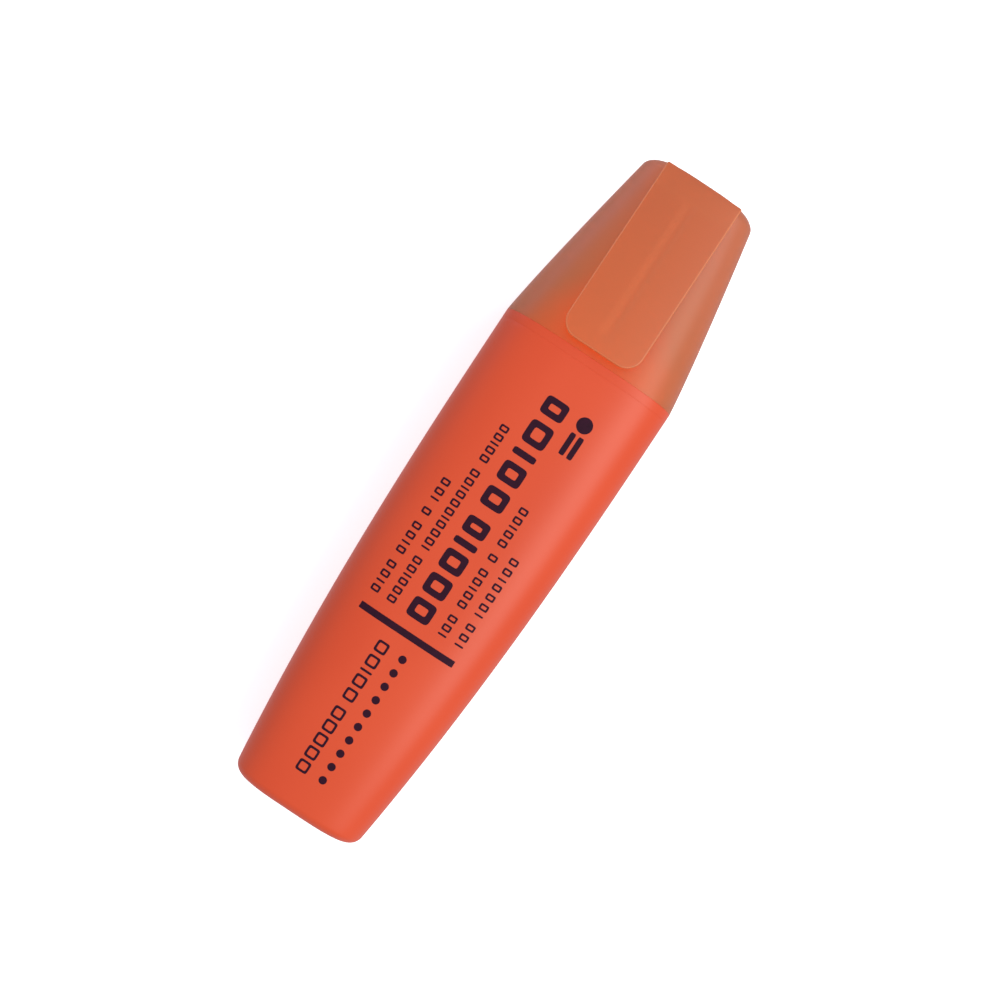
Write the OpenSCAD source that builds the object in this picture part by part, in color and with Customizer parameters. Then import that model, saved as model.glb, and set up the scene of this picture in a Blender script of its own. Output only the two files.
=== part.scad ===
// Flat-barrel highlighter with a pull-off cap and a springy pocket clip.
// The pen lies on its back. +X runs along it towards the cap, +Y across it and
// +Z out of its front face. The origin is under the middle of its length.
// A "station" is a distance along the pen from its tail end.

/* [Body] */
// Overall length, from the tail end to the top of the cap
pen_length = 102.9; // [100.9:0.5:104.9]
// Width at the mouth of the barrel, the widest place
mouth_width = 27; // [26.4:0.1:28]
// Width at the tail, before its corners are rounded
tail_width = 20.1; // [19.2:0.1:21.6]
// Thickness of the barrel, before its back is flattened
body_thickness = 16; // [15.8:0.1:16.6]
// Thickness at the tail, before its back is flattened
tail_thickness = 13.6; // [13.4:0.1:14.6]
// Depth of the flat panel along the back
panel_depth = 0.3; // [0.2:0.05:0.4]
// Length of the barrel, from the tail end to its mouth
barrel_length = 72.5; // [71.3:0.1:73.3]
// Wall of the barrel
barrel_wall = 1.1; // [0.9:0.05:1.15]
// Radius of the tail's corners, seen from the front
tail_corner = 1.5; // [1.2:0.1:2]

/* [Nose] */
// Height of the collar that shows between barrel and cap
collar_height = 1.3; // [1:0.1:1.6]
// Depth of the skirt that plugs the barrel
skirt_depth = 7.5; // [6:0.5:8]
// Height of the neck that the cap grips
neck_height = 4; // [3.5:0.1:4.3]
// Width of the nose cone at its base
cone_base_width = 17; // [16:0.1:17.4]
// Thickness of the nose cone at its base
cone_base_thickness = 9.8; // [9.2:0.1:9.9]
// Width of the nose cone where its tip starts to round
cone_tip_width = 12.6; // [11.5:0.1:12.8]
// Thickness of the nose cone where its tip starts to round
cone_tip_thickness = 7.8; // [7:0.1:7.9]

/* [Cap] */
// Width of the cap just below its rounded top
cap_top_width = 17.9; // [17:0.1:19]
// Thickness of the cap just below its rounded top
cap_top_thickness = 10.4; // [10:0.1:11]
// Wall of the cap
cap_wall = 1.1; // [0.9:0.05:1.2]
// Height of the rounding at the top of the cap
cap_crown = 1.8; // [1.6:0.1:2.4]
// Gap between the neck and the inside of the cap
cap_gap = 0.15; // [0.12:0.01:0.2]
// Wall of the sealing liner inside the cap
liner_wall = 0.55; // [0.45:0.05:0.6]

/* [Clip] */
// Width of the clip
clip_width = 11.9; // [10:0.1:12.5]
// Thickness of the clip
clip_thickness = 1; // [0.8:0.05:1.1]
// Length of the clip, root block included
clip_length = 27; // [25:0.5:27.5]
// Radius of the two corners at the free end
clip_corner = 2.6; // [1.5:0.1:4]
// How much lower the clip's long edges are than the middle of its outer face
clip_crown = 0.25; // [0.1:0.05:0.35]
// Length of the solid block that joins the clip to the cap
clip_root = 2.4; // [2:0.1:3]
// Height of the clip's outer face above the pen's axis, at the root
clip_root_height = 7.9; // [7.7:0.1:8.2]
// Height of the clip's outer face above the pen's axis, at the free end
clip_tip_height = 9.7; // [9.6:0.1:10]

/* [Nib and reservoir] */
// Width of the nib, which is the widest line it draws
nib_width = 5; // [4.4:0.1:5]
// Thickness of the nib
nib_thickness = 3.4; // [2.8:0.1:3.4]
// Angle of the chisel cut across the nib's width
chisel_angle = 32; // [15:1:40]
// Radius of the fibre reservoir with its film sleeve
reservoir_radius = 5.9; // [5.5:0.05:5.9]
// Thickness of the reservoir's film sleeve
film_wall = 0.2; // [0.15:0.05:0.3]

/* [Hidden] */

$fn = 48;
ring_points = 32;          // points around one cross-section
barrel_colour = [0.89, 0.36, 0.22];
cap_colour = [0.88, 0.50, 0.33, 0.75];
nib_colour = [0.98, 0.42, 0.18];

width_power = 3.6;         // squareness of a cross-section across its width
thickness_power = 2.6;     // squareness of a cross-section through its thickness
cone_power = 2.6;          // the same for the rounder nose cone and liner
flank_power = 2.6;         // how the barrel's sides swell from tail to mouth
cap_flank_power = 1.13;    // how the cap's sides bow
tail_ease = 30;            // length over which the tail thins

fit_gap = 0.05;            // between pieces that are pushed together for good
rim_gap = 0.05;            // between the cap's rim and the collar's deck
seam = barrel_length + collar_height;
axis_height = body_thickness / 2 - panel_depth;
tail_wall = 1.8;

crown_start = pen_length - cap_crown;
crown_inset_width = 3.3;
crown_inset_thickness = 2;
tail_corner_side = 1.3 * tail_corner;

shoulder_height = 3.5;
neck_top = seam + neck_height;
cone_base = neck_top + shoulder_height;
nib_tip = crown_start - 1.7;
nose_end = nib_tip - 7.5;
cone_tip = nose_end - 2;
tip_inset_width = 2;
tip_inset_thickness = 0.9;
bead_height = 0.08;
nose_wall = 1.2;
guide_start = seam - 3;
guide_wall = 0.95;
channel_gap = 0.05;
vent_width = 0.6;
vent_depth = 0.35;

liner_start = cone_base + 1.5;
liner_end = crown_start - 0.8;
liner_gap = 0.12;
liner_top_width = 9.2;
liner_top_thickness = 5.8;
liner_roof = 0.8;
liner_pin_radius = 1.2;

nib_back = 57;
nib_tip_thickness = 2.2;
reservoir_back = 9;
reservoir_front = 63.5;

fin_thickness = 0.9;
fin_side = reservoir_radius - 0.4;
fin_edge = 2.6;
fin_start = 14;
fin_end = 61;

clip_root_station = pen_length - 1.2;
clip_slope = atan((clip_tip_height - clip_root_height) / clip_length);
clip_crown_radius = (pow(clip_width / 2, 2) / clip_crown + clip_crown) / 2;
hinge_gap = 0.1;
rib_width = 1.2;
rib_height = 0.65;
rib_start = 4.5;
bump_from_tip = 3.2;
bump_radius = 1.3;
bump_height = 0.72;
block_foot = 4;

// ---- Shape of the outside -------------------------------------------------

// Share of the way from the seam to the start of the cap's rounded top
function cap_share(s) = (s - seam) / (crown_start - seam);

// Half the width of the outside at a station
function half_width(s) = s <= seam
    ? mouth_width / 2 - (mouth_width - tail_width) / 2 * pow(1 - s / seam, flank_power)
    : mouth_width / 2 - (mouth_width - cap_top_width) / 2 * pow(cap_share(s), cap_flank_power);

// Half the thickness of the outside at a station
function half_thickness(s) = s <= tail_ease
    ? body_thickness / 2 - (body_thickness - tail_thickness) / 2 * pow(1 - s / tail_ease, 2)
    : s <= seam
    ? body_thickness / 2
    : body_thickness / 2 - (body_thickness - cap_top_thickness) / 2 * cap_share(s);

function signed_power(v, p) = sign(v) * pow(abs(v), p);

// Points of one cross-section with half width a and half thickness b. Its back is cut flat
// panel deep; wp and tp are how square it is across and through.
function section(s, a, b, panel, wp, tp) = [
    for (i = [0 : ring_points - 1])
        let (t = 360 * i / ring_points)
        [s, a * signed_power(cos(t), 2 / wp), max(b * signed_power(sin(t), 2 / tp), panel - b)]
];

// A cross-section of the pen's outside, set in by iw across and it through
function body_ring(s, iw = 0, it = 0) =
    section(s, half_width(s) - iw, half_thickness(s) - it, panel_depth,
            width_power, thickness_power);

// A cross-section of the nose cone or the liner
function cone_ring(s, a, b) = section(s, a, b, 0, cone_power, thickness_power);

// Stations from one end to the other, both included
function steps(from, to, count) = [for (i = [0 : count]) from + (to - from) * i / count];

function reversed(list) = [for (i = [len(list) - 1 : -1 : 0]) list[i]];

// Closes a run of cross-sections into one solid. Outer surfaces run towards +X, inner ones back.
module skin(rings) {
    n = ring_points;
    last = (len(rings) - 1) * n;
    sides = [
        for (j = [0 : len(rings) - 2], i = [0 : n - 1])
            let (p = j * n + i, q = j * n + (i + 1) % n)
            each [[p, p + n, q + n], [p, q + n, q]]
    ];
    ends = [[for (i = [0 : n - 1]) i], [for (i = [n - 1 : -1 : 0]) last + i]];
    polyhedron(points = [for (r = rings) each r], faces = concat(sides, ends));
}

// Puts what is drawn about the pen's axis, tail at the origin, where the pen lies
module along_pen() translate([-pen_length / 2, 0, axis_height]) children();

// A round bar along the pen, from one station to another
module bar(from, to, radius)
    translate([from, 0, 0]) rotate([0, 90, 0]) cylinder(h = to - from, r = radius);

// A square-edged block along the pen, centred on its axis
module block(from, to, width, thickness)
    translate([from, -width / 2, -thickness / 2]) cube([to - from, width, thickness]);

// ---- Barrel -----------------------------------------------------------------

// Outer surface from the rounded tail to the mouth
function barrel_outside() = concat(
    [for (f = [0 : 18 : 72])
        body_ring(tail_corner * (1 - cos(f)), tail_corner * (1 - sin(f)),
                  tail_corner_side * (1 - sin(f)))],
    [for (s = steps(tail_corner, barrel_length, 12)) body_ring(s)]
);

// Inner surface from the mouth to the closed tail
function barrel_inside() =
    [for (s = steps(barrel_length, tail_wall, 8)) body_ring(s, barrel_wall, barrel_wall)];

// Height of the inner surface above the axis at a station, y away from the middle
function inside_height(s, y) =
    (half_thickness(s) - barrel_wall)
    * pow(1 - pow(y / (half_width(s) - barrel_wall), width_power), 1 / thickness_power);

// Fins that keep the round reservoir in the middle of the flat barrel
module reservoir_fins() {
    reach = inside_height(fin_end, fin_side) + 0.15;
    for (side = [0, 1], face = [0, 1])
        mirror([0, side, 0]) mirror([0, 0, face])
            translate([fin_start, fin_side, fin_edge])
                cube([fin_end - fin_start, fin_thickness, reach - fin_edge]);
}

module barrel() color(barrel_colour) along_pen() {
    skin(concat(barrel_outside(), barrel_inside()));
    reservoir_fins();
}

// ---- Nose section -----------------------------------------------------------

// Half width and half thickness of the nose in front of its neck
function cone_share(s) = (s - cone_base) / (cone_tip - cone_base);
function cone_half_width(s) =
    cone_base_width / 2 - (cone_base_width - cone_tip_width) / 2 * cone_share(s);
function cone_half_thickness(s) =
    cone_base_thickness / 2 - (cone_base_thickness - cone_tip_thickness) / 2 * cone_share(s);

// A cross-section of the shoulder, part of the way from neck (0) to cone (1)
function shoulder_ring(share, inset) =
    let (
        s = neck_top + shoulder_height * share,
        blend = (1 - cos(180 * share)) / 2,
        neck = body_ring(s, cap_wall + cap_gap + inset, cap_wall + cap_gap + inset),
        cone = cone_ring(s, cone_half_width(s) - inset, cone_half_thickness(s) - inset)
    )
    [for (i = [0 : ring_points - 1]) neck[i] * (1 - blend) + cone[i] * blend];

function nose_outside() =
    let (
        skirt = barrel_wall + fit_gap,
        neck = cap_wall + cap_gap,
        bead = neck - bead_height
    )
    concat(
        [for (s = [barrel_length - skirt_depth, barrel_length]) body_ring(s, skirt, skirt)],
        [body_ring(barrel_length), body_ring(seam)],
        [body_ring(seam, neck, neck), body_ring(seam + 1.4, neck, neck)],
        [body_ring(seam + 1.8, bead, bead), body_ring(seam + 2.4, bead, bead)],
        [body_ring(seam + 2.8, neck, neck)],
        [for (share = [0 : 0.2 : 1]) shoulder_ring(share, 0)],
        [for (s = steps(cone_base + 3, cone_tip, 2))
            cone_ring(s, cone_half_width(s), cone_half_thickness(s))],
        [for (f = [30 : 30 : 90])
            cone_ring(cone_tip + (nose_end - cone_tip) * sin(f),
                      cone_tip_width / 2 - tip_inset_width * (1 - cos(f)),
                      cone_tip_thickness / 2 - tip_inset_thickness * (1 - cos(f)))]
    );

function nose_inside() =
    let (
        skirt = barrel_wall + fit_gap + nose_wall,
        neck = cap_wall + cap_gap + nose_wall,
        hollow_end = cone_tip - 2
    )
    concat(
        [cone_ring(hollow_end, cone_half_width(hollow_end) - nose_wall,
                   cone_half_thickness(hollow_end) - nose_wall)],
        [for (share = [1, 0.6, 0.3, 0]) shoulder_ring(share, nose_wall)],
        [body_ring(seam, neck, neck), body_ring(barrel_length - skirt_depth, skirt, skirt)]
    );

module nose_section() color(barrel_colour) along_pen() difference() {
    union() {
        skin(concat(nose_inside(), nose_outside()));
        block(guide_start, cone_tip - 1, nib_width + 2 * guide_wall,
              nib_thickness + 2 * guide_wall);
    }
    block(guide_start - 1, nose_end + 1, nib_width + 2 * channel_gap,
          nib_thickness + 2 * channel_gap);
    block(guide_start - 1, nose_end + 1, vent_width, nib_thickness + 2 * vent_depth);
}

// ---- Nib and reservoir --------------------------------------------------------

// Outline seen from the front, with the slanting chisel cut
module nib_front_outline() {
    half = nib_width / 2;
    drop = nib_width * tan(chisel_angle);
    polygon([
        [nib_back, -half], [nib_tip - drop - 0.5, -half], [nib_tip - drop, 0.6 - half],
        [nib_tip, half - 0.6], [nib_tip - 0.6, half], [nib_back, half]
    ]);
}

// Outline seen from the side, thinner towards the tip
module nib_side_outline() {
    half = nib_thickness / 2;
    tip = nib_tip_thickness / 2;
    polygon([
        [nib_back, -half + 0.8], [nib_back + 0.8, -half], [nose_end + 1, -half],
        [nib_tip, -tip], [nib_tip, tip],
        [nose_end + 1, half], [nib_back + 0.8, half], [nib_back, half - 0.8]
    ]);
}

module chisel_nib() color(nib_colour) along_pen() intersection() {
    translate([0, 0, -nib_thickness]) linear_extrude(2 * nib_thickness) nib_front_outline();
    rotate([90, 0, 0]) linear_extrude(2 * nib_width, center = true) nib_side_outline();
}

module reservoir_core() color("navajowhite") along_pen() difference() {
    bar(reservoir_back, reservoir_front, reservoir_radius - film_wall - 0.02);
    block(nib_back - 0.02, reservoir_front + 1, nib_width + 0.04, nib_thickness + 0.04);
}

module reservoir_film() color("gainsboro") along_pen() difference() {
    bar(reservoir_back, reservoir_front, reservoir_radius);
    bar(reservoir_back - 1, reservoir_front + 1, reservoir_radius - film_wall);
}

// ---- Cap ------------------------------------------------------------------------

// One surface of the cap, depth inside its outer face, from rim to top
function cap_surface(depth, count) = concat(
    [for (s = steps(seam + rim_gap, crown_start, count)) body_ring(s, depth, depth)],
    [for (f = [22.5 : 22.5 : 90])
        body_ring(crown_start + (cap_crown - depth) * sin(f),
                  depth + crown_inset_width * (1 - cos(f)),
                  depth + crown_inset_thickness * (1 - cos(f)))]
);

// Height of the clip's outer face above the axis at a station
function clip_height(s) = clip_root_height + (clip_root_station - s) * tan(clip_slope);

// The clip's place: its outer face at a station, sloping as the clip does
module on_clip_face(s) {
    translate([s, 0, clip_height(s)]) rotate([0, clip_slope, 0]) children();
}

// Long drum that rounds the outer faces of the clip and of its block
module clip_drum() {
    translate([0, 0, -clip_crown_radius]) rotate([0, 90, 0])
        cylinder(r = clip_crown_radius, h = 3 * clip_length, center = true, $fn = 360);
}

// Solid block at the top of the cap that carries the clip
module clip_block() {
    back = clip_root_station - clip_root;
    intersection() {
        rotate([90, 0, 0]) linear_extrude(clip_width, center = true) polygon([
            [clip_root_station, block_foot], [clip_root_station, clip_height(clip_root_station)],
            [back, clip_height(back)], [back, block_foot]
        ]);
        on_clip_face(clip_root_station) clip_drum();
    }
}

module cap_shell() color(cap_colour) along_pen() {
    skin(concat(reversed(cap_surface(cap_wall, 7)), cap_surface(0, 9)));
    clip_block();
}

// A cross-section of the liner, its wall wide outside the space it encloses
function liner_ring(s, outside) =
    let (
        share = (s - liner_start) / (liner_end - liner_start),
        base_width = cone_half_width(liner_start) + liner_gap,
        base_thickness = cone_half_thickness(liner_start) + liner_gap
    )
    cone_ring(s, base_width + (liner_top_width / 2 - base_width) * share + outside,
              base_thickness + (liner_top_thickness / 2 - base_thickness) * share + outside);

module cap_liner() color(cap_colour) along_pen() {
    skin(concat(
        [for (s = steps(liner_end, liner_start, 4)) liner_ring(s, 0)],
        [for (s = steps(liner_start, liner_end, 4)) liner_ring(s, liner_wall)],
        [liner_ring(liner_end + liner_roof, liner_wall / 2)]
    ));
    bar(liner_end + liner_roof - 0.1, pen_length - cap_wall, liner_pin_radius);
}

// ---- Clip -----------------------------------------------------------------------

// Flat outline of the springy part, root at the origin, free end towards -X
module clip_outline() {
    free = clip_length - clip_root - hinge_gap;
    half = clip_width / 2;
    translate([-free + clip_corner, -half]) square([free - clip_corner, clip_width]);
    translate([-free, -half + clip_corner]) square([free, clip_width - 2 * clip_corner]);
    for (side = [-1, 1])
        translate([-free + clip_corner, side * (half - clip_corner)]) circle(clip_corner);
}

module pocket_clip() color(cap_colour) along_pen() {
    hinge = clip_root_station - clip_root - hinge_gap;
    free = clip_length - clip_root - hinge_gap;
    on_clip_face(hinge) {
        intersection() {
            translate([0, 0, -clip_thickness]) linear_extrude(clip_thickness) clip_outline();
            clip_drum();
        }
        translate([-free + bump_from_tip, -rib_width / 2, -clip_thickness - rib_height])
            cube([free - bump_from_tip - rib_start, rib_width, rib_height + 0.1]);
        intersection() {
            translate([-free + bump_from_tip, 0, bump_radius - clip_thickness - bump_height])
                sphere(bump_radius);
            translate([-free, -bump_radius, -clip_thickness - bump_height])
                cube([2 * bump_from_tip, 2 * bump_radius, bump_height + 0.1]);
        }
    }
}

barrel();
nose_section();
chisel_nib();
reservoir_core();
reservoir_film();
cap_shell();
cap_liner();
pocket_clip();
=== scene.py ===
import math

import bmesh
import bpy
import numpy as np
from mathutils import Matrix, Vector


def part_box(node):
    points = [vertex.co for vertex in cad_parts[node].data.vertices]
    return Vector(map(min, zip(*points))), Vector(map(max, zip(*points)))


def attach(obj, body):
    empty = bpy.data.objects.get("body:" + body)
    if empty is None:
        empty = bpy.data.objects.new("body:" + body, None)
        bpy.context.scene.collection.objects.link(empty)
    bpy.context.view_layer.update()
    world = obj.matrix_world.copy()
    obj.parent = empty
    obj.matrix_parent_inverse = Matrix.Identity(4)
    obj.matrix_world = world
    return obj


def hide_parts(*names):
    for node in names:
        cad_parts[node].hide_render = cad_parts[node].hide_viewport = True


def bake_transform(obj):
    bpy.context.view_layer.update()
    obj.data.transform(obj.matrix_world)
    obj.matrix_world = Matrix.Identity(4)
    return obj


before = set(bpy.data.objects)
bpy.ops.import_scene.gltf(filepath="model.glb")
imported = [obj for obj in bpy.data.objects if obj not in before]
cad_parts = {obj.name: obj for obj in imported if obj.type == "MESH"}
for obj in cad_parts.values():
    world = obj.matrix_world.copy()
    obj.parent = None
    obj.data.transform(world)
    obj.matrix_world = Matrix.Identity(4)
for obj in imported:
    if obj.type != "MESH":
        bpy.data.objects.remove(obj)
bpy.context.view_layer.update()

# Everything below is in millimetres until piece() turns it to metres. A station is a distance
# along the pen from its tail end, across is +Y, and height is above the pen's axis.
MM = 0.001


def corners(node):
    low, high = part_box(node)
    return np.array(low) / MM, np.array(high) / MM


barrel_low, barrel_high = corners("barrel")
nose_low, nose_high = corners("nose_section")
nib_low, nib_high = corners("chisel_nib")
cap_low, cap_high = corners("cap_shell")
liner_low, liner_high = corners("cap_liner")
clip_low, clip_high = corners("pocket_clip")

# ---- Sizes --------------------------------------------------------------------------------------
# Where the main pieces begin and end, from the frame. The solids leave 0.05 mm between the collar
# and the cap's rim. Here the rim is closer, so that the joint reads as the hairline it is.
RIM_GAP = 0.01
RIM_CLOSER = 0.04
TAIL_X = barrel_low[0]
MOUTH = barrel_high[0] - TAIL_X
RIM = cap_low[0] - TAIL_X - RIM_CLOSER
SEAM = RIM - RIM_GAP
PEN_END = cap_high[0] - TAIL_X
NOSE_START = nose_low[0] - TAIL_X
NOSE_END = nose_high[0] - TAIL_X
NIB_BACK = nib_low[0] - TAIL_X
NIB_TIP = nib_high[0] - TAIL_X
LINER_START = liner_low[0] - TAIL_X
LINER_PIN_END = liner_high[0] - TAIL_X
HINGE = clip_high[0] - TAIL_X
CLIP_END = clip_low[0] - TAIL_X

# The body's outside
PANEL_DEPTH = 0.3
MOUTH_HALF = nose_high[1]
BODY_HALF = (barrel_high[2] - barrel_low[2] + PANEL_DEPTH) / 2
AXIS_Z = barrel_high[2] - BODY_HALF
TAIL_HALF_WIDTH = 10.05
TAIL_HALF_THICKNESS = 6.8
TAIL_EASE = 30
TAIL_CORNER = 1.5
TAIL_CORNER_SIDE = 1.95
TAIL_WALL = 1.8
CAP_CROWN = 1.8
CROWN = PEN_END - CAP_CROWN
CAP_TOP_HALF_WIDTH = 8.95
CAP_TOP_HALF_THICKNESS = 5.2
CROWN_INSET_WIDTH = 3.3
CROWN_INSET_THICKNESS = 2.0
FLANK_POWER = 2.6
CAP_FLANK_POWER = 1.13

# How square a cross-section is, across its width and through its thickness
BODY_SQUARENESS = (3.6, 2.6)
CONE_SQUARENESS = (2.6, 2.6)

# Walls, gaps and small edges
BARREL_WALL = 1.1
CAP_WALL = 1.1
NOSE_WALL = 1.2
LINER_WALL = 0.55
FIT_GAP = 0.05
CAP_GAP = 0.15
LIP = 0.02
MOULDED_EDGE = 0.15

# Nose and nib
NECK_TOP = SEAM + 4
BEAD_START = SEAM + 1.2
BEAD_LENGTH = 1.6
BEAD_HEIGHT = 0.08
SHOULDER = 3.5
CONE_BASE = NECK_TOP + SHOULDER
CONE_TIP = NOSE_END - 2
CONE_BASE_HALF = (8.5, 4.9)
CONE_TIP_HALF = (6.3, 3.9)
CONE_TIP_INSET = (2.0, 0.9)
HOLLOW_END = CONE_TIP - 2
GUIDE_START = SEAM - 3
GUIDE_WALL = 0.95
GUIDE_CORNER = 0.8
CHANNEL_GAP = 0.05
CHANNEL_CORNER = 0.3
CHANNEL_MOUTH_CORNER = 0.4
VENT_WIDTH = 0.6
VENT_DEPTH = 0.35
NIB_HALF_WIDTH = (nib_high[1] - nib_low[1]) / 2
NIB_HALF_THICKNESS = (nib_high[2] - nib_low[2]) / 2
NIB_TIP_HALF_THICKNESS = 1.1
NIB_EDGE = 0.45
NIB_CORNER = 0.6
NIB_TIP_CORNER = 0.5
NIB_TAPER_START = NOSE_END + 1
CHISEL_SLOPE = math.tan(math.radians(32))

# Liner
LINER_END = CROWN - 0.8
LINER_GAP = 0.12
LINER_TOP_HALF = (4.6, 2.9)
LINER_ROOF = 0.8
LINER_ROOF_OVERHANG = 0.9
LINER_PIN = 1.2

# Clip
CLIP_HALF_WIDTH = clip_high[1]
CLIP_THICKNESS = 1.0
CLIP_CORNER = 2.6
CLIP_CROWN = 0.25
CLIP_ROOT = HINGE + 0.1
CLIP_TOP = CLIP_ROOT + 2.4
CLIP_TOP_HEIGHT = 7.9
CLIP_RISE = 1.8
CLIP_SLOPE = CLIP_RISE / 27
CLIP_EDGE = 0.2
# How far in from the clip's outline its painted glow line starts, and where it is full
CLIP_PAINTED_GLOW_LINE = (0.3, 0.1)
ROOT_FILLET = 1.6
ROOT_SINK = 0.04
RIB_HALF_WIDTH = 0.3
RIB_SOFTNESS = 0.7
RIB_HEIGHT = 0.65
BUMP_FROM_TIP = 3.2
BUMP_RADIUS = 1.3
BUMP_HEIGHT = 0.72


# ---- Mesh building ------------------------------------------------------------------------------
def piece(name, points, faces, sharp=35):
    """A mesh object from points in the pen's own millimetres. Edges past sharp degrees stay
    crisp."""
    places = (np.asarray(points, float) + [TAIL_X, 0, AXIS_Z]) * MM
    mesh = bpy.data.meshes.new(name)
    mesh.from_pydata(places.tolist(), [], [list(f) for f in faces])
    shape = bmesh.new()
    shape.from_mesh(mesh)
    bmesh.ops.recalc_face_normals(shape, faces=shape.faces)
    shape.to_mesh(mesh)
    shape.free()
    mesh.shade_smooth()
    mesh.set_sharp_from_angle(angle=math.radians(sharp))
    made = bpy.data.objects.new(name, mesh)
    bpy.context.scene.collection.objects.link(made)
    return made


def loft(name, rings, loop=False):
    """Skins a run of cross-sections. It closes on itself, or flat faces close its two ends."""
    around = len(rings[0])
    spans = len(rings) if loop else len(rings) - 1
    faces = []
    for j in range(spans):
        here = j * around
        there = (j + 1) % len(rings) * around
        for i in range(around):
            k = (i + 1) % around
            faces.append((here + i, here + k, there + k, there + i))
    if not loop:
        faces.append(range(around))
        faces.append(range((len(rings) - 1) * around, len(rings) * around))
    return piece(name, np.concatenate(rings), faces)


def even_turn(per_quarter=44):
    """Angles round a cross-section that put its points at about even distances."""
    fine = np.linspace(0, math.pi / 2, 2001)
    across = MOUTH_HALF * np.cos(fine) ** (2 / BODY_SQUARENESS[0])
    height = BODY_HALF * np.sin(fine) ** (2 / BODY_SQUARENESS[1])
    run = np.concatenate([[0], np.cumsum(np.hypot(np.diff(across), np.diff(height)))])
    quarter = np.interp(np.linspace(0, run[-1], per_quarter + 1), run, fine)
    there, back = quarter[:-1], quarter[:0:-1]
    return np.concatenate([there, math.pi - back, math.pi + there, 2 * math.pi - back])


TURN = even_turn()


def signed_power(value, power):
    return np.sign(value) * np.abs(value) ** power


def eased_floor(height, floor, ease=0.2):
    """height, but never under floor, and rounded where the two meet."""
    share = np.clip(0.5 + 0.5 * (height - floor) / ease, 0, 1)
    return floor * (1 - share) + height * share + ease * share * (1 - share)


def section(station, half_wide, half_thick, squareness, panel=0.0):
    """A cross-section between an ellipse and a rectangle, with a flat panel along its back."""
    across = half_wide * signed_power(np.cos(TURN), 2 / squareness[0])
    height = half_thick * signed_power(np.sin(TURN), 2 / squareness[1])
    if panel:
        height = eased_floor(height, panel - half_thick)
    return np.column_stack([np.full_like(across, station), across, height])


def cap_share(station):
    return (station - SEAM) / (CROWN - SEAM)


def half_width(station):
    if station <= SEAM:
        return MOUTH_HALF - (MOUTH_HALF - TAIL_HALF_WIDTH) * (1 - station / SEAM) ** FLANK_POWER
    narrowing = (MOUTH_HALF - CAP_TOP_HALF_WIDTH) * cap_share(station) ** CAP_FLANK_POWER
    return MOUTH_HALF - narrowing


def half_thickness(station):
    if station <= TAIL_EASE:
        return BODY_HALF - (BODY_HALF - TAIL_HALF_THICKNESS) * (1 - station / TAIL_EASE) ** 2
    if station <= SEAM:
        return BODY_HALF
    return BODY_HALF - (BODY_HALF - CAP_TOP_HALF_THICKNESS) * cap_share(station)


def front_height(station, across):
    """Height of the outer surface's front at a place."""
    wide, through = BODY_SQUARENESS
    share = min(abs(across) / half_width(station), 1)
    return half_thickness(station) * (1 - share ** wide) ** (1 / through)


def body_ring(station, inset=0.0, inset_through=None):
    """A cross-section of the pen's outside, set in by inset."""
    deep = inset if inset_through is None else inset_through
    return section(station, half_width(station) - inset, half_thickness(station) - deep,
                   BODY_SQUARENESS, PANEL_DEPTH)


def rounding(count, start=0.0, end=90.0):
    """Sines and one-minus-cosines of a quarter round, from start to end degrees."""
    turn = np.radians(np.linspace(start, end, count + 1))
    return list(zip(np.sin(turn), 1 - np.cos(turn)))


def rounded_edge(station, inset, direction, radius=LIP):
    """Rings of the outer edge of a wall that ends at station, facing direction (1 or -1)."""
    rings = [body_ring(station + direction * radius * (up - 1), inset + radius * aside)
             for up, aside in rounding(5)]
    return rings if direction > 0 else rings[::-1]


# ---- Barrel -------------------------------------------------------------------------------------
def make_barrel():
    tail = [body_ring(TAIL_CORNER * (1 - math.sin(turn)),
                      TAIL_CORNER * (1 - math.cos(turn)),
                      TAIL_CORNER_SIDE * (1 - math.cos(turn)))
            for turn in np.radians(np.linspace(90, 0, 15))]
    flanks = [body_ring(s) for s in np.linspace(TAIL_CORNER, MOUTH - LIP, 72)[1:-1]]
    lip = rounded_edge(MOUTH, 0, 1)
    inner_lip = [body_ring(MOUTH, BARREL_WALL - LIP), body_ring(MOUTH - LIP, BARREL_WALL)]
    inside = [body_ring(s, BARREL_WALL) for s in np.linspace(MOUTH - 1, TAIL_WALL, 24)]
    return loft("barrel_moulding", tail + flanks + lip + inner_lip + inside)


# ---- Nose ---------------------------------------------------------------------------------------
def cone_half(station, axis):
    share = (station - CONE_BASE) / (CONE_TIP - CONE_BASE)
    return CONE_BASE_HALF[axis] + (CONE_TIP_HALF[axis] - CONE_BASE_HALF[axis]) * share


def cone_ring(station, inset=(0.0, 0.0)):
    return section(station, cone_half(station, 0) - inset[0], cone_half(station, 1) - inset[1],
                   CONE_SQUARENESS)


def shoulder_ring(share, inset):
    """Part of the way from the flat neck (0) to the rounder cone (1)."""
    station = NECK_TOP + SHOULDER * share
    blend = (1 - math.cos(math.pi * share)) / 2
    neck = body_ring(station, CAP_WALL + CAP_GAP + inset)
    cone = cone_ring(station, (inset, inset))
    return neck * (1 - blend) + cone * blend


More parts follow.
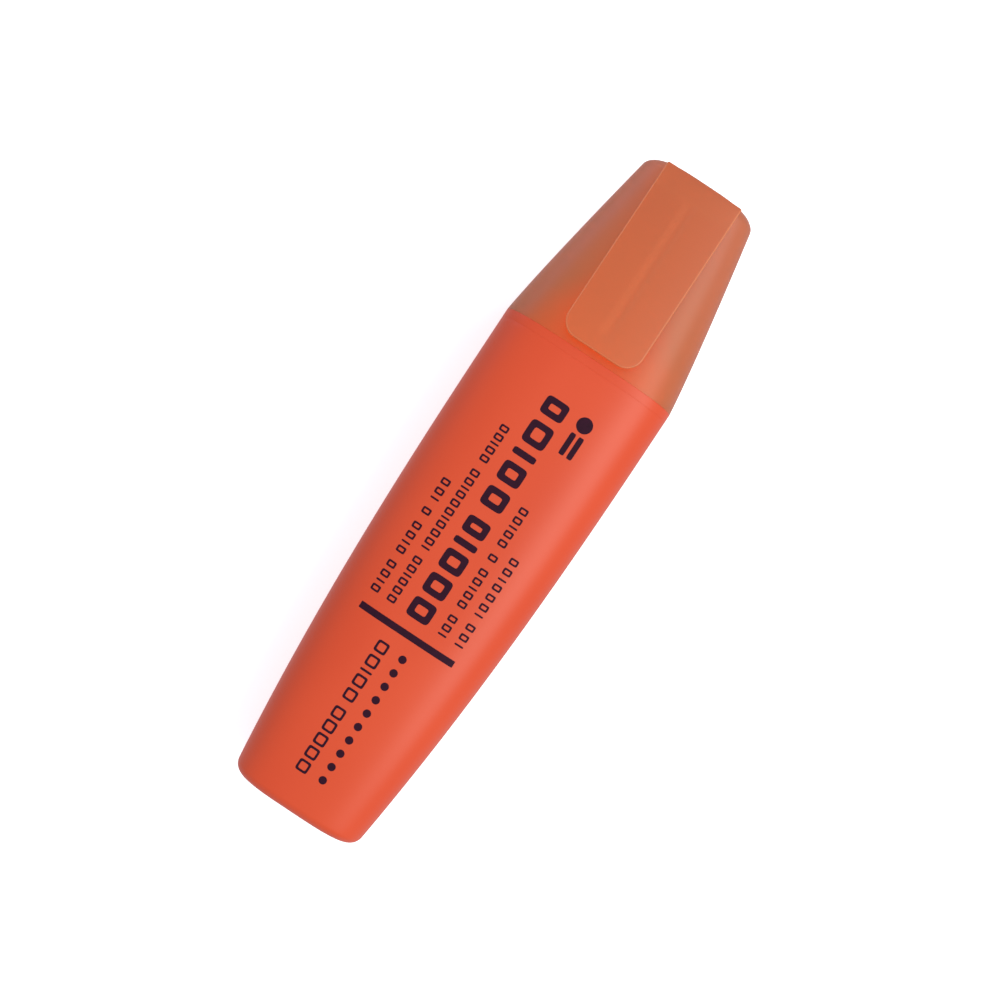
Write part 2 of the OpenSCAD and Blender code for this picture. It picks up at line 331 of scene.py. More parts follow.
def box_ring(station, half_wide, half_thick, radius, vent=0.0):
    """A rounded rectangle with a point in the direction of each point of a cross-section."""
    aim = section(0, half_wide, half_thick, (2, 2))[:, 1:]
    aim /= np.linalg.norm(aim, axis=1)[:, None]
    core = np.array([half_wide - radius, half_thick - radius])
    reach = np.empty(len(aim))
    for i, way in enumerate(np.abs(aim)):
        low, high = 0.0, half_wide + half_thick
        for _ in range(40):
            middle = (low + high) / 2
            outside = np.linalg.norm(np.maximum(way * middle - core, 0)) > radius
            low, high = (low, middle) if outside else (middle, high)
        reach[i] = low
    flat = aim * reach[:, None]
    in_vent = np.abs(flat[:, 0]) < VENT_WIDTH / 2
    flat[in_vent, 1] += np.sign(flat[in_vent, 1]) * vent
    return np.column_stack([np.full(len(flat), station), flat])


def make_nose():
    skirt = BARREL_WALL + FIT_GAP
    neck = CAP_WALL + CAP_GAP
    outside = [body_ring(s, skirt) for s in np.linspace(NOSE_START, MOUTH, 6)]
    outside += rounded_edge(MOUTH, 0, -1) + rounded_edge(SEAM, 0, 1)
    outside += [body_ring(SEAM, neck), body_ring(BEAD_START, neck)]
    outside += [body_ring(BEAD_START + BEAD_LENGTH * share,
                          neck - BEAD_HEIGHT * math.sin(math.pi * share))
                for share in np.linspace(0, 1, 9)[1:]]
    outside += [body_ring(NECK_TOP - 0.3, neck)]
    outside += [shoulder_ring(share, 0) for share in np.linspace(0, 1, 15)]
    outside += [cone_ring(s) for s in np.linspace(CONE_BASE, CONE_TIP, 10)[1:-1]]
    outside += [cone_ring(CONE_TIP + (NOSE_END - CONE_TIP) * up,
                          (CONE_TIP_INSET[0] * aside, CONE_TIP_INSET[1] * aside))
                for up, aside in rounding(10)]
    wide, thick = NIB_HALF_WIDTH + CHANNEL_GAP, NIB_HALF_THICKNESS + CHANNEL_GAP
    channel = [box_ring(NOSE_END, wide + MOULDED_EDGE, thick + MOULDED_EDGE,
                        CHANNEL_MOUTH_CORNER, VENT_DEPTH - MOULDED_EDGE)]
    channel += [box_ring(s, wide, thick, CHANNEL_CORNER, VENT_DEPTH)
                for s in np.linspace(NOSE_END - MOULDED_EDGE, GUIDE_START, 6)]
    guide = [box_ring(s, wide + GUIDE_WALL, thick + GUIDE_WALL, GUIDE_CORNER)
             for s in np.linspace(GUIDE_START, HOLLOW_END, 4)]
    inside = [cone_ring(HOLLOW_END, (NOSE_WALL, NOSE_WALL))]
    inside += [shoulder_ring(share, NOSE_WALL) for share in np.linspace(1, 0, 8)]
    inside += [body_ring(SEAM, neck + NOSE_WALL)]
    inside += [body_ring(NOSE_START, skirt + NOSE_WALL)]
    return loft("nose_moulding", outside + channel + guide + inside, loop=True)


# ---- Nib ----------------------------------------------------------------------------------------
def nib_ring(station, half_wide, half_thick, radius, shear):
    ring = box_ring(station, half_wide, half_thick, radius)
    ring[:, 0] -= shear * (NIB_HALF_WIDTH - ring[:, 1])
    return ring


def make_nib():
    """A bonded fibre rod, thinner towards its slanting chisel tip."""
    wide, thick, edge = NIB_HALF_WIDTH, NIB_HALF_THICKNESS, NIB_EDGE
    tip_thick, tip_corner = NIB_TIP_HALF_THICKNESS, NIB_TIP_CORNER
    rings = [nib_ring(NIB_BACK + edge * (1 - math.cos(turn)), wide - edge * (1 - math.sin(turn)),
                      thick - edge * (1 - math.sin(turn)), NIB_CORNER, 0)
             for turn in np.radians(np.linspace(0, 90, 6))]
    rings += [nib_ring(s, wide, thick, NIB_CORNER, 0)
              for s in np.linspace(NIB_BACK + 2, NIB_TAPER_START, 12)]
    for share in np.linspace(0, 1, 16)[1:]:
        station = NIB_TAPER_START + (NIB_TIP - edge - NIB_TAPER_START) * share
        rings.append(nib_ring(station, wide, thick + (tip_thick - thick) * share, tip_corner,
                              CHISEL_SLOPE * share))
    rings += [nib_ring(NIB_TIP - edge + edge * up, wide - edge * aside,
                       tip_thick - edge * aside, tip_corner, CHISEL_SLOPE)
              for up, aside in rounding(6)[1:]]
    for ring in rings:
        ring[:, 0] = np.minimum(ring[:, 0], NIB_TIP)
    return loft("chisel_nib_fibre", rings)


# ---- Cap ----------------------------------------------------------------------------------------
def cap_crown_rings(depth):
    return [body_ring(CROWN + (CAP_CROWN - depth) * up, depth + CROWN_INSET_WIDTH * aside,
                      depth + CROWN_INSET_THICKNESS * aside)
            for up, aside in rounding(18)]


def make_cap():
    inner_top = cap_crown_rings(CAP_WALL)[::-1]
    inside = [body_ring(s, CAP_WALL) for s in np.linspace(CROWN, RIM + LIP, 30)[1:-1]]
    rim = [body_ring(RIM + LIP, CAP_WALL), body_ring(RIM, CAP_WALL - LIP)]
    rim += rounded_edge(RIM, 0, -1)
    outside = [body_ring(s) for s in np.linspace(RIM + LIP, CROWN, 40)[1:-1]]
    return loft("cap_moulding", inner_top + inside + rim + outside + cap_crown_rings(0))


def liner_ring(station, extra=0.0):
    share = (station - LINER_START) / (LINER_END - LINER_START)
    half = [cone_half(LINER_START, k) + LINER_GAP for k in (0, 1)]
    half = [half[k] + (LINER_TOP_HALF[k] - half[k]) * share + extra for k in (0, 1)]
    return section(station, half[0], half[1], CONE_SQUARENESS)


def make_liner():
    """A thin sealing cup, hung from the cap's roof by a short pin."""
    edge = MOULDED_EDGE
    rings = [liner_ring(s) for s in np.linspace(LINER_END, LINER_START + edge, 14)]
    rings += [liner_ring(LINER_START, edge), liner_ring(LINER_START, LINER_WALL - edge)]
    rings += [liner_ring(s, LINER_WALL) for s in np.linspace(LINER_START + edge, LINER_END, 14)]
    rings += [liner_ring(LINER_END + LINER_ROOF * up, LINER_WALL - LINER_ROOF_OVERHANG * aside)
              for up, aside in rounding(6)[1:]]
    rings += [section(s, LINER_PIN, LINER_PIN, (2, 2))
              for s in np.linspace(LINER_END + LINER_ROOF, LINER_PIN_END, 4)]
    return loft("cap_liner_moulding", rings)


# ---- Clip ---------------------------------------------------------------------------------------
def clip_top(station):
    return CLIP_TOP_HEIGHT + (CLIP_TOP - station) * CLIP_SLOPE


def ridge(offset, half, soft):
    """1 on a ridge of half width half, easing to 0 over soft outside it."""
    share = np.clip((half + soft - np.abs(offset)) / soft, 0, 1)
    return share * share * (3 - 2 * share)


def clip_underside(station, across):
    """Height of the clip's lower surface: the plate, its rib, its bump and its root block."""
    low = clip_top(station) - CLIP_THICKNESS
    rib_end = CLIP_END + BUMP_FROM_TIP
    rib_share = np.clip((station - rib_end + 0.4) / 0.8, 0, 1)
    rib = RIB_HEIGHT * ridge(across, RIB_HALF_WIDTH, RIB_SOFTNESS) * rib_share
    away = (station - rib_end) ** 2 + across ** 2
    dome = np.sqrt(np.maximum(BUMP_RADIUS ** 2 - away, 0)) - BUMP_RADIUS + BUMP_HEIGHT
    low = low - np.maximum(rib, dome)
    foot = np.array([front_height(station, y) for y in np.atleast_1d(across)]) - ROOT_SINK
    into_block = np.clip((station - CLIP_ROOT + ROOT_FILLET) / ROOT_FILLET, 0, 1)
    return low + (foot - low) * into_block ** 3


def clip_half_width(station):
    from_end = station - CLIP_END
    if from_end >= CLIP_CORNER:
        return CLIP_HALF_WIDTH
    rounded = math.sqrt(CLIP_CORNER ** 2 - (CLIP_CORNER - from_end) ** 2)
    return CLIP_HALF_WIDTH - CLIP_CORNER + rounded


def clip_ring(station, inset=0.0):
    """A cross-section of the clip: crowned top, rounded edges, and the shaped underside."""
    half = clip_half_width(station) - inset
    edge = CLIP_EDGE
    spread = np.linspace(-1, 1, 45)
    across = (half - edge) * spread
    corner = np.radians(np.linspace(0, 90, 6))[1:-1]
    crowned = clip_top(station) - inset - CLIP_CROWN * (across / CLIP_HALF_WIDTH) ** 2
    low = np.minimum(clip_underside(station, across) + inset, crowned - 2 * edge - 0.02)
    top = crowned[0]
    right_low, left_low = low[-1], low[0]
    points = [(y, z) for y, z in zip(across, low)]
    points += [(half - edge + edge * math.sin(c), right_low + edge * (1 - math.cos(c)))
               for c in corner]
    points += [(half, right_low + edge + (top - right_low - 2 * edge) * k) for k in (0, 0.5, 1)]
    points += [(half - edge + edge * math.cos(c), top - edge + edge * math.sin(c))
               for c in corner]
    points += [(y, z) for y, z in zip(across[::-1], crowned[::-1])]
    points += [(-half + edge - edge * math.sin(c), top - edge + edge * math.cos(c))
               for c in corner]
    points += [(-half, left_low + edge + (top - left_low - 2 * edge) * k) for k in (1, 0.5, 0)]
    points += [(-half + edge - edge * math.cos(c), left_low + edge - edge * math.sin(c))
               for c in corner]
    return np.array([(station, y, z) for y, z in points])


def make_clip():
    free_end = [clip_ring(CLIP_END + CLIP_EDGE * (1 - up), CLIP_EDGE * aside)
                for up, aside in rounding(4)[::-1]]
    corner = CLIP_END + CLIP_CORNER * (1 - np.cos(np.radians(np.linspace(22, 90, 14))))
    plate = list(np.linspace(CLIP_END + CLIP_CORNER, CLIP_ROOT - ROOT_FILLET, 60)[1:-1])
    root = list(np.linspace(CLIP_ROOT - ROOT_FILLET, CLIP_TOP - CLIP_EDGE, 26))
    body = [clip_ring(s) for s in [*corner, *plate, *root]]
    top_end = [clip_ring(CLIP_TOP - CLIP_EDGE + CLIP_EDGE * up, CLIP_EDGE * aside)
               for up, aside in rounding(4)[1:]]
    return loft("pocket_clip_moulding", free_end + body + top_end)


# ---- Print --------------------------------------------------------------------------------------
# The print stands a little proud of the barrel, as pad-printed ink does.
INK_PROUD = 0.03
INK_ROOT = 0.02
INK_STEP = 0.35


def ink_points(places):
    top = [(s, y, front_height(s, y) + INK_PROUD) for s, y in places]
    under = [(s, y, front_height(s, y) - INK_ROOT) for s, y in places]
    return top, under


def rounded_grid(half_long, half_wide, radius, long_count, wide_count):
    """A square grid pulled into a rounded rectangle, or a disc when radius is the half size."""
    places = np.empty((long_count + 1, wide_count + 1, 2))
    for i, u in enumerate(np.linspace(-1, 1, long_count + 1)):
        for j, v in enumerate(np.linspace(-1, 1, wide_count + 1)):
            x, y = u * half_long, v * half_wide
            over_x = max(abs(x) - half_long + radius, 0) / radius
            over_y = max(abs(y) - half_wide + radius, 0) / radius
            if over_x and over_y:
                round_x = over_x * math.sqrt(1 - over_y ** 2 / 2)
                round_y = over_y * math.sqrt(1 - over_x ** 2 / 2)
                x = math.copysign(half_long - radius + radius * round_x, x)
                y = math.copysign(half_wide - radius + radius * round_y, y)
            places[i, j] = x, y
    return places


class Ink:
    """Collects printed shapes and makes one closed mesh of each shape in a single object."""

    def __init__(self):
        self.points, self.faces = [], []

    def add(self, places, quads, rim):
        first, count = len(self.points), len(places)
        top, under = ink_points(places)
        self.points += top + under
        self.faces += [tuple(first + k for k in quad) for quad in quads]
        self.faces += [tuple(first + count + k for k in quad[::-1]) for quad in quads]
        for loop in rim:
            for a, b in zip(loop, loop[1:] + loop[:1]):
                self.faces.append((first + a, first + b, first + count + b, first + count + a))

    def patch(self, station, across, long, wide, radius):
        """A filled rounded rectangle about a middle point."""
        long_count = max(6, round(long / INK_STEP))
        wide_count = max(6, round(wide / INK_STEP))
        grid = rounded_grid(long / 2, wide / 2, radius, long_count, wide_count)
        places = [(station + x, across + y) for x, y in grid.reshape(-1, 2)]
        row = wide_count + 1
        quads = [(i * row + j, (i + 1) * row + j, (i + 1) * row + j + 1, i * row + j + 1)
                 for i in range(long_count) for j in range(wide_count)]
        rim = list(range(row))
        rim += [i * row + wide_count for i in range(1, long_count + 1)]
        rim += [long_count * row + j for j in range(wide_count - 1, -1, -1)]
        rim += [i * row for i in range(long_count - 1, 0, -1)]
        self.add(places, quads, [rim])

    def box(self, station, across, long, wide, line, count=40):
        """A hollow rounded rectangle drawn with a line."""
        places = []
        for inset in (0, line):
            for turn in np.linspace(0, 2 * math.pi, count, endpoint=False):
                x = (long / 2 - inset) * signed_power(math.cos(turn), 0.35)
                y = (wide / 2 - inset) * signed_power(math.sin(turn), 0.35)
                places.append((station + x, across + y))
        quads = [(k, (k + 1) % count, count + (k + 1) % count, count + k) for k in range(count)]
        self.add(places, quads, [list(range(count)), list(range(count, 2 * count))[::-1]])

    def word(self, station, across, widths, height, line, gap):
        """A row of boxes from station towards the tail, where the narrowest are plain bars."""
        for width in widths:
            if width <= 1.1 * line:
                self.patch(station - width / 2, across, width, height, 0.3 * width)
            else:
                self.box(station - width / 2, across, width, height, line)
            station -= width + gap

    def done(self, name):
        return piece(name, self.points, self.faces, sharp=60)


# Each word is given by its first station, its place across, its boxes' widths, and then its
# height, its line's width and the gap between its boxes. All are in millimetres.
def make_title():
    """Two words' worth of bold hollow blocks and bars, in place of a title."""
    ink = Ink()
    ink.word(66.7, 0.25, (2.7, 3.4, 0.95, 2.95, 2.9), 3.5, 0.9, 1.1)
    ink.word(47.5, 0.25, (2.5, 0.95, 3.0, 3.0, 2.95), 3.5, 0.9, 0.91)
    return ink.done("print_title_blocks")


def make_small_lines():
    """Rows of small boxes and bars, in place of small lines of words."""
    ink = Ink()
    line, box_width, height, word_gap, end = 0.26, 0.95, 1.3, 1.4, 31.6
    rows = (  # place across, first station, boxes in each word
        (4.47, 59.9, (5, 11, 6)),
        (7.1, 49.6, (3, 1, 4, 4)),
        (-3.85, 52.0, (5, 1, 5, 3)),
        (-6.53, 45.6, (7, 3)),
    )
    for across, station, counts in rows:
        words = [[line if k % 4 == 2 else box_width for k in range(count)] for count in counts]
        free = station - end - word_gap * (len(words) - 1) - sum(map(sum, words))
        gap = free / (sum(counts) - len(words))
        for word in words:
            ink.word(station, across, word, height, line, gap)
            station -= sum(word) + gap * (len(word) - 1) + word_gap
    return ink.done("print_small_lines")


def make_badge():
    """A plain generic mark: a disc and two bars."""
    ink = Ink()
    ink.patch(65.7, -4.32, 2.3, 2.3, 1.15)
    ink.patch(62.4, -3.7, 3.4, 0.8, 0.2)
    ink.patch(62.4, -4.95, 3.4, 0.8, 0.2)
    return ink.done("print_badge")


def make_rule():
    """The heavy bar across the barrel."""
    ink = Ink()
    ink.patch(29.16, 0.15, 0.97, 15.0, 0.05)
    return ink.done("print_rule")


def make_scale():
    """Ten dots, and beside them two words' worth of thin boxes, towards the tail."""
    ink = Ink()
    first_dot, spacing, dot = 26.0, 2.172, 1.14
    for k in range(10):
        ink.patch(first_dot - spacing * k, -1.26, dot, dot, dot / 2)
    ink.word(26.7, 1.98, (1.7, 1.7, 0.32, 1.7, 1.7), 1.78, 0.32, 0.56)
    ink.word(16.1, 1.98, (1.7, 1.7, 1.7, 1.7, 1.7), 1.78, 0.32, 0.46)
    return ink.done("print_dots_and_boxes")


# ---- Materials ----------------------------------------------------------------------------------
def linear(hex_colour):
    """An sRGB hex colour as linear RGBA."""
    parts = [int(hex_colour[k:k + 2], 16) / 255 for k in (1, 3, 5)]
    parts = [p / 12.92 if p <= 0.04045 else ((p + 0.055) / 1.055) ** 2.4 for p in parts]
    return (*parts, 1.0)


def per_mm(size):
    """Texture scale whose features are about size millimetres across."""
    return 1 / (size * MM)


def add_node(tree, kind, values=None, links=None, stops=(), **settings):
    """One node, with its settings, its sockets' values, what is linked into them and, for a colour
    ramp, its stops."""
    made = tree.nodes.new(kind)
    for key, value in settings.items():
        setattr(made, key, value)
    for key, value in (values or {}).items():
        made.inputs[key].default_value = value
    for key, source in (links or {}).items():
        tree.links.new(source, made.inputs[key])
    if stops:
        steps = made.color_ramp.elements
        steps[0].position, steps[1].position = stops[0][0], stops[-1][0]
        for place, _ in stops[1:-1]:
            steps.new(place)
        for step, (_, colour) in zip(steps, stops):
            step.color = linear(colour)
    return made


def new_material(name):
    material = bpy.data.materials.new(name)
    material.use_nodes = True
    material.node_tree.nodes.clear()
    return material, material.node_tree


def place_on(tree, stretch=(1, 1, 1)):
    """The place on the piece, in metres, with lengths scaled by stretch."""
    where = add_node(tree, "ShaderNodeTexCoord")
    mapping = add_node(tree, "ShaderNodeMapping", {"Scale": stretch},
                       {"Vector": where.outputs["Object"]})
    return mapping.outputs["Vector"]


# The real grain is about 0.03 mm. It's drawn at 0.16 mm, the finest that shows.
GRAIN = 0.16


def spark_eroded(tree, where, strength):
    """The fine even grain that a spark-eroded mould leaves, and its bump."""
    grain = add_node(tree, "ShaderNodeTexNoise",
                     {"Scale": per_mm(GRAIN), "Detail": 3, "Roughness": 0.6}, {"Vector": where})
    bump = add_node(tree, "ShaderNodeBump", {"Strength": strength, "Distance": 0.02 * MM},
                    {"Height": grain.outputs["Fac"]})
    return grain, bump


def coral_polypropylene():
    """Opaque coral-orange polypropylene, injection moulded with a satin spark-eroded skin. The
    skin spreads highlights into soft bands, and the pigment drifts a little along the flow."""
    material, tree = new_material("coral_polypropylene")
    where = place_on(tree)
    flow = add_node(tree, "ShaderNodeTexNoise",
                    {"Scale": per_mm(14), "Detail": 2, "Roughness": 0.5},
                    {"Vector": place_on(tree, (0.4, 1, 1))})
    drift = add_node(tree, "ShaderNodeValToRGB", links={"Fac": flow.outputs["Fac"]},
                     stops=((0.3, "#D4481C"), (0.7, "#DA4E22")))
    grain, bump = spark_eroded(tree, where, 0.25)
    rough = add_node(tree, "ShaderNodeMapRange", {"To Min": 0.38, "To Max": 0.46},
                     {"Value": grain.outputs["Fac"]})
    shader = add_node(tree, "ShaderNodeBsdfPrincipled", {"IOR": 1.49},
                      {"Base Color": drift.outputs["Color"], "Roughness": rough.outputs[0],
                       "Normal": bump.outputs[0]})
    add_node(tree, "ShaderNodeOutputMaterial", links={"Surface": shader.outputs[0]})
    return material


# How the cap's tint, a painted glow of the coral nose behind it, runs: its length from the rim,
# how much of it the flanks add, and the haze
PAINTED_GLOW_LENGTH = 28
PAINTED_GLOW_ASIDE = 0.7
HAZE = 0.12
HAZE_SIZE = 9


def frosted_polypropylene(name, painted_glow_fade, stops):
    """Polypropylene with a frosted mould finish. Light goes through it, but it blurs what is
    behind, so only what touches it shows clearly. The tint is a painted glow of the coral nose
    seen through the wall. It runs through stops, along the pen from the cap's rim and out from its
    middle, as far as the second argument says, and stays on the cap when the cap is off. Haze
    mottles it."""
    material, tree = new_material(name)
    where = place_on(tree)
    haze = add_node(tree, "ShaderNodeTexNoise",
                    {"Scale": per_mm(HAZE_SIZE), "Detail": 2, "Roughness": 0.5},
                    {"Vector": where})
    apart = add_node(tree, "ShaderNodeSeparateXYZ", links={"Vector": where})
    rim = (RIM + TAIL_X) * MM
    along = add_node(tree, "ShaderNodeMapRange",
                     {"From Min": rim, "From Max": rim + PAINTED_GLOW_LENGTH * MM, "To Max": painted_glow_fade},
                     {"Value": apart.outputs["X"]})
    aside = add_node(tree, "ShaderNodeMath", operation="MULTIPLY",
                     links={0: apart.outputs["Y"], 1: apart.outputs["Y"]})
    spread = PAINTED_GLOW_ASIDE * painted_glow_fade / (MOUTH_HALF * MM) ** 2
    outward = add_node(tree, "ShaderNodeMath", {1: spread}, operation="MULTIPLY_ADD",
                       links={0: aside.outputs[0], 2: along.outputs[0]})
    depth = add_node(tree, "ShaderNodeMath", {1: HAZE}, operation="MULTIPLY_ADD",
                     links={0: haze.outputs["Fac"], 2: outward.outputs[0]})
    # The ramp's colour is the painted glow of the nose behind, mottled by the haze
    tint = add_node(tree, "ShaderNodeValToRGB", links={"Fac": depth.outputs[0]}, stops=stops)
    bump = spark_eroded(tree, where, 0.2)[1]
    shader = add_node(tree, "ShaderNodeBsdfPrincipled",
                      {"IOR": 1.49, "Roughness": 0.42, "Transmission Weight": 0.42},
                      {"Base Color": tint.outputs["Color"], "Normal": bump.outputs[0]})
    add_node(tree, "ShaderNodeOutputMaterial", links={"Surface": shader.outputs[0]})
    return material


def frosted_plate_with_painted_edge_glow():
    """The frosted polypropylene of the clip, a flat plate, tinted like the cap with a painted glow
    of the neck below it. A painted glow line, paler and yellower than its faces, runs round its
    edge, where light would come out of such a plate."""
    # The early stops paint the neck's coral glow under the clip, and the last stop is the painted
    # edge glow
    material = frosted_polypropylene("frosted_polypropylene_plate_painted_edge_glow", 0.3,
                                     ((0.02, "#DA7439"), (0.36, "#CE6F3D"), (1.0, "#E59056")))
    tree = material.node_tree
    apart = add_node(tree, "ShaderNodeSeparateXYZ", links={"Vector": place_on(tree)})
    aside = add_node(tree, "ShaderNodeMath", operation="ABSOLUTE", links={0: apart.outputs["Y"]})
    straight_edge = (CLIP_HALF_WIDTH - CLIP_CORNER) * MM
    past_side = add_node(tree, "ShaderNodeMath", {1: straight_edge}, operation="SUBTRACT",
                         links={0: aside.outputs[0]})
    corner_start = (CLIP_END + CLIP_CORNER + TAIL_X) * MM
    past_end = add_node(tree, "ShaderNodeMath", {0: corner_start}, operation="SUBTRACT",
                        links={1: apart.outputs["X"]})
    out_side, out_end = [add_node(tree, "ShaderNodeMath", {1: 0}, operation="MAXIMUM",
                                  links={0: past.outputs[0]}) for past in (past_side, past_end)]
    corner = add_node(tree, "ShaderNodeCombineXYZ",
                      links={"X": out_side.outputs[0], "Y": out_end.outputs[0]})
    reach = add_node(tree, "ShaderNodeVectorMath", operation="LENGTH",
                     links={0: corner.outputs[0]})
    # A painted glow line, paler and yellower, round the clip's outline: there the ramp is pushed
    # to its last stop
    edge = add_node(tree, "ShaderNodeMapRange",
                    {"From Min": (CLIP_CORNER - CLIP_PAINTED_GLOW_LINE[0]) * MM,
                     "From Max": (CLIP_CORNER - CLIP_PAINTED_GLOW_LINE[1]) * MM},
                    {"Value": reach.outputs["Value"]})
    ramp = next(node for node in tree.nodes if node.type == "VALTORGB")
    depth = ramp.inputs["Fac"].links[0].from_socket
    painted_glow_or_edge_glow = add_node(tree, "ShaderNodeMath", operation="MAXIMUM",
                         links={0: depth, 1: edge.outputs["Result"]})
    tree.links.new(painted_glow_or_edge_glow.outputs[0], ramp.inputs["Fac"])
    return material


def plum_ink():
    """Pad-printed dark plum ink: thin, nearly matt, and a little uneven in its cover."""
    material, tree = new_material("plum_pad_print_ink")
    cover = add_node(tree, "ShaderNodeTexNoise",
                     {"Scale": per_mm(0.7), "Detail": 4, "Roughness": 0.6},
                     {"Vector": place_on(tree)})
    shade = add_node(tree, "ShaderNodeValToRGB", links={"Fac": cover.outputs["Fac"]},
                     stops=((0.35, "#28061C"), (0.75, "#300822")))
    shader = add_node(tree, "ShaderNodeBsdfPrincipled",
                      {"IOR": 1.5, "Roughness": 0.6, "Specular IOR Level": 0.15},
                      {"Base Color": shade.outputs["Color"]})
    add_node(tree, "ShaderNodeOutputMaterial", links={"Surface": shader.outputs[0]})
    return material


def inked_fibre(name, dark, light, strand):
    """Polyester fibre soaked in fluorescent ink: matt, with strands along the pen. Real strands
    are about 0.03 mm thick. They're drawn strand millimetres apart, so that they show."""
    material, tree = new_material(name)
    strands = add_node(tree, "ShaderNodeTexNoise",
                       {"Scale": per_mm(strand), "Detail": 4, "Roughness": 0.65},
                       {"Vector": place_on(tree, (0.06, 1, 1))})
    shade = add_node(tree, "ShaderNodeValToRGB", links={"Fac": strands.outputs["Fac"]},
                     stops=((0.35, dark), (0.7, light)))
    bump = add_node(tree, "ShaderNodeBump", {"Strength": 0.5, "Distance": 0.05 * MM},
                    {"Height": strands.outputs["Fac"]})
    shader = add_node(tree, "ShaderNodeBsdfPrincipled", {"IOR": 1.55, "Roughness": 0.85},
                      {"Base Color": shade.outputs["Color"], "Normal": bump.outputs[0]})
    add_node(tree, "ShaderNodeOutputMaterial", links={"Surface": shader.outputs[0]})
    return material


def clear_film():
    """Clear polyester film wrapped round the reservoir: glossy, with faint wrinkles."""
    material, tree = new_material("clear_polyester_film")
    wrinkles = add_node(tree, "ShaderNodeTexNoise", {"Scale": per_mm(3), "Detail": 3},
                        {"Vector": place_on(tree, (0.3, 1, 1))})
    bump = add_node(tree, "ShaderNodeBump", {"Strength": 0.3, "Distance": 0.1 * MM},
                    {"Height": wrinkles.outputs["Fac"]})
    shader = add_node(tree, "ShaderNodeBsdfPrincipled",
                      {"IOR": 1.6, "Roughness": 0.12, "Transmission Weight": 1.0,
                       "Base Color": linear("#F2F2F2")}, {"Normal": bump.outputs[0]})
    add_node(tree, "ShaderNodeOutputMaterial", links={"Surface": shader.outputs[0]})
    return material


def white_sweep():
    """Matt white opal sheet under the pen, lit a little from behind as a light table is."""
    material, tree = new_material("matt_white_opal")
    tooth = add_node(tree, "ShaderNodeTexNoise", {"Scale": per_mm(1.5), "Detail": 3},
                     {"Vector": place_on(tree)})
    bump = add_node(tree, "ShaderNodeBump", {"Strength": 0.05, "Distance": 0.05 * MM},
                    {"Height": tooth.outputs["Fac"]})
    shader = add_node(tree, "ShaderNodeBsdfPrincipled",
                      {"Base Color": linear("#F4F4F4"), "Roughness": 0.9,
                       "Emission Color": linear("#FFFFFF"), "Emission Strength": 0.56},
                      {"Normal": bump.outputs[0]})
    add_node(tree, "ShaderNodeOutputMaterial", links={"Surface": shader.outputs[0]})
    return material


def dress(made, material):
    made.data.materials.clear()
    made.data.materials.append(material)


# ---- Light, floor and camera --------------------------------------------------------------------
def aim(made, target):
    way = np.array(target) - np.array(made.location)
    made.rotation_euler = Vector(way).to_track_quat("-Z", "Y").to_euler()


def softbox(name, place, long, wide, power, colour):
    """An area light at place, in metres, aimed at the pen's middle. Power is in watts."""
    light = bpy.data.lights.new(name, "AREA")
    light.shape = "RECTANGLE"
    light.size = long
    light.size_y = wide
    light.energy = power
    light.color = linear(colour)[:3]
    made = bpy.data.objects.new(name, light)
    made.location = place
    aim(made, (0, 0, AXIS_Z * MM))
    bpy.context.scene.collection.objects.link(made)


def light_scene():
    """Soft daylight, one long key softbox above and a weak cool fill low on the other side."""
    world = bpy.data.worlds.new("studio")
    bpy.context.scene.world = world
    world.use_nodes = True
    background = world.node_tree.nodes["Background"]
    background.inputs["Color"].default_value = linear("#F8F5FF")
    background.inputs["Strength"].default_value = 0.66
    softbox("key_softbox", (0.07, -0.34, 0.45), long=0.62, wide=0.34, power=2.3,
            colour="#FFFAF4")
    softbox("cool_fill", (0.22, 0.28, 0.05), long=0.3, wide=0.25, power=0.26, colour="#DCD4FF")
    bpy.context.scene.view_settings.view_transform = "Standard"


def lay_floor():
    """A white floor. It catches shadows but throws no light back up, so the flanks stay deep."""
    half = 9  # metres
    points = [(-half, -half, 0), (half, -half, 0), (half, half, 0), (-half, half, 0)]
    mesh = bpy.data.meshes.new("floor")
    mesh.from_pydata(points, [], [(0, 1, 2, 3)])
    floor = bpy.data.objects.new("floor", mesh)
    bpy.context.scene.collection.objects.link(floor)
    floor.data.materials.append(white_sweep())
    floor.visible_diffuse = floor.visible_glossy = False


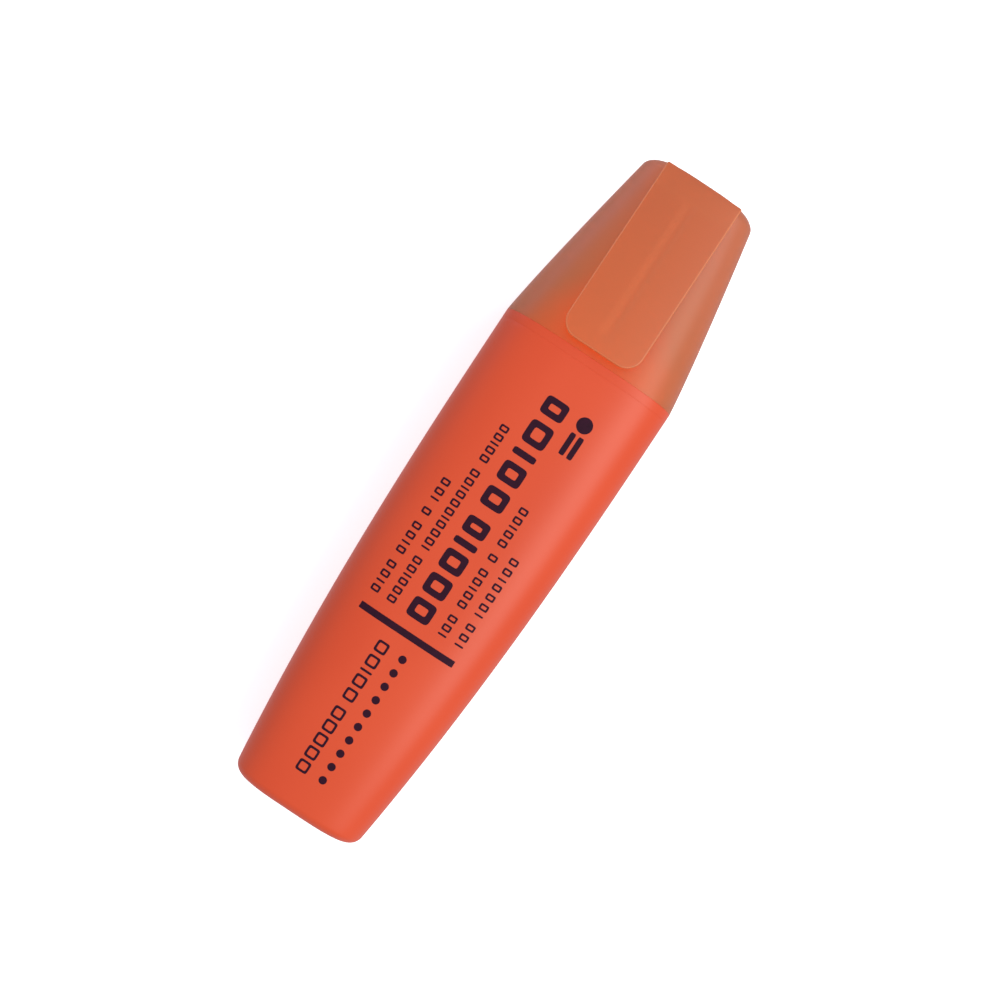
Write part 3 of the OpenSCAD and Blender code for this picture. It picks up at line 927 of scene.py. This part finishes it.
def place_camera():
    """Straight above the pen, turned so that the cap end points up and to the right."""
    height = 205 * MM
    view_width = 139.7 * MM
    aim_x, aim_y = -0.32 * MM, -0.33 * MM
    turn = -56.5
    sensor = 36.0
    camera = bpy.data.cameras.new("camera")
    camera.sensor_width = sensor
    camera.lens = sensor * height / view_width
    made = bpy.data.objects.new("camera", camera)
    made.location = (aim_x, aim_y, AXIS_Z * MM + height)
    made.rotation_euler = (0, 0, math.radians(turn))
    bpy.context.scene.collection.objects.link(made)
    bpy.context.scene.camera = made


# ---- Assembly -----------------------------------------------------------------------------------
coral = coral_polypropylene()
# The liner's tint is a faint painted glow of the nose behind it. The cap's tint is a full painted
# glow of the coral neck and cone seen through it.
frosted = frosted_polypropylene("frosted_peach_polypropylene", 0.3,
                                ((0.02, "#EC8044"), (0.4, "#DD7C47")))
frosted_with_painted_neck_glow = frosted_polypropylene(
    "frosted_polypropylene_painted_neck_glow", 1.0,
    ((0.06, "#E3611A"), (0.34, "#D86A2C"), (0.62, "#CA7341"), (1.0, "#CC764C")))
ink_finish = plum_ink()
nib_finish = inked_fibre("bonded_polyester_nib", "#F0501C", "#FF6A2E", 0.12)
core_finish = inked_fibre("crimped_polyester_wick", "#E88048", "#F29A60", 0.25)

# The frosted cap and clip let the lamps' light through, so they cast no shadow of their own.
for maker, body, node, material, slot in (
    (make_barrel, "barrel", "barrel", coral, "barrel_plastic"),
    (make_nose, "barrel", "nose_section", coral, "barrel_plastic"),
    (make_nib, "barrel", "chisel_nib", nib_finish, "nib_fibre"),
    (make_cap, "cap", "cap_shell", frosted_with_painted_neck_glow, "cap_plastic"),
    (make_liner, "cap", "cap_liner", frosted, "cap_plastic"),
):
    made = maker()
    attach(made, body)
    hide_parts(node)
    dress(made, material)
    made.visible_shadow = node != "cap_shell"

clip = make_clip()
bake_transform(clip)
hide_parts("pocket_clip")
dress(clip, frosted_plate_with_painted_edge_glow())
clip.visible_shadow = False

for maker in (make_title, make_small_lines, make_badge, make_rule, make_scale):
    made = maker()
    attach(made, "barrel")
    dress(made, ink_finish)

dress(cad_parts["reservoir_core"], core_finish)
dress(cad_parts["reservoir_film"], clear_film())

lay_floor()
light_scene()
place_camera()
